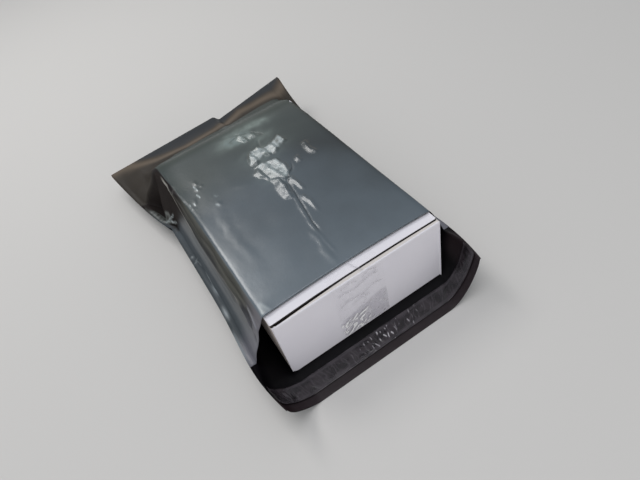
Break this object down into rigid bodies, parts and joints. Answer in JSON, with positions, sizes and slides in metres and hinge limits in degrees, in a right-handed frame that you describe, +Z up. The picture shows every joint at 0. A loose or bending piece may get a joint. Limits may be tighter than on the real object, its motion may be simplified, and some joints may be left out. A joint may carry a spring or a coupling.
{
  "type": "polythene mailer with a carton in it",
  "caption": "Grey polythene mailing bag, black inside, held open by a white taped carton, with an open flap that carries a covered glue strip.",
  "frame": {"origin": "on the film's flat underside, below the middle of the carton's footprint", "axes": "+Z up through the carton, +Y along the mailer from its mouth to its closed end, +X to the right as seen from the mouth"},
  "size_m": [0.2461, 0.4003, 0.0751],
  "materials": {
    "grey_polythene": "glossy grey film, black on its inner side",
    "hot_melt_glue": "tacky clear glue over black film",
    "release_liner": "thin wrinkled clear film over black",
    "white_board": "matt white coated board, plain paper fibre at its cut edges",
    "clear_tape": "clear wrinkled packing tape"
  },
  "bodies": {
    "root": {"mailer_bag": "grey_polythene", "glue_strip": "hot_melt_glue", "release_liner": "release_liner", "carton": "white_board", "carton_tape": "clear_tape"}
  },
  "joints": []
}
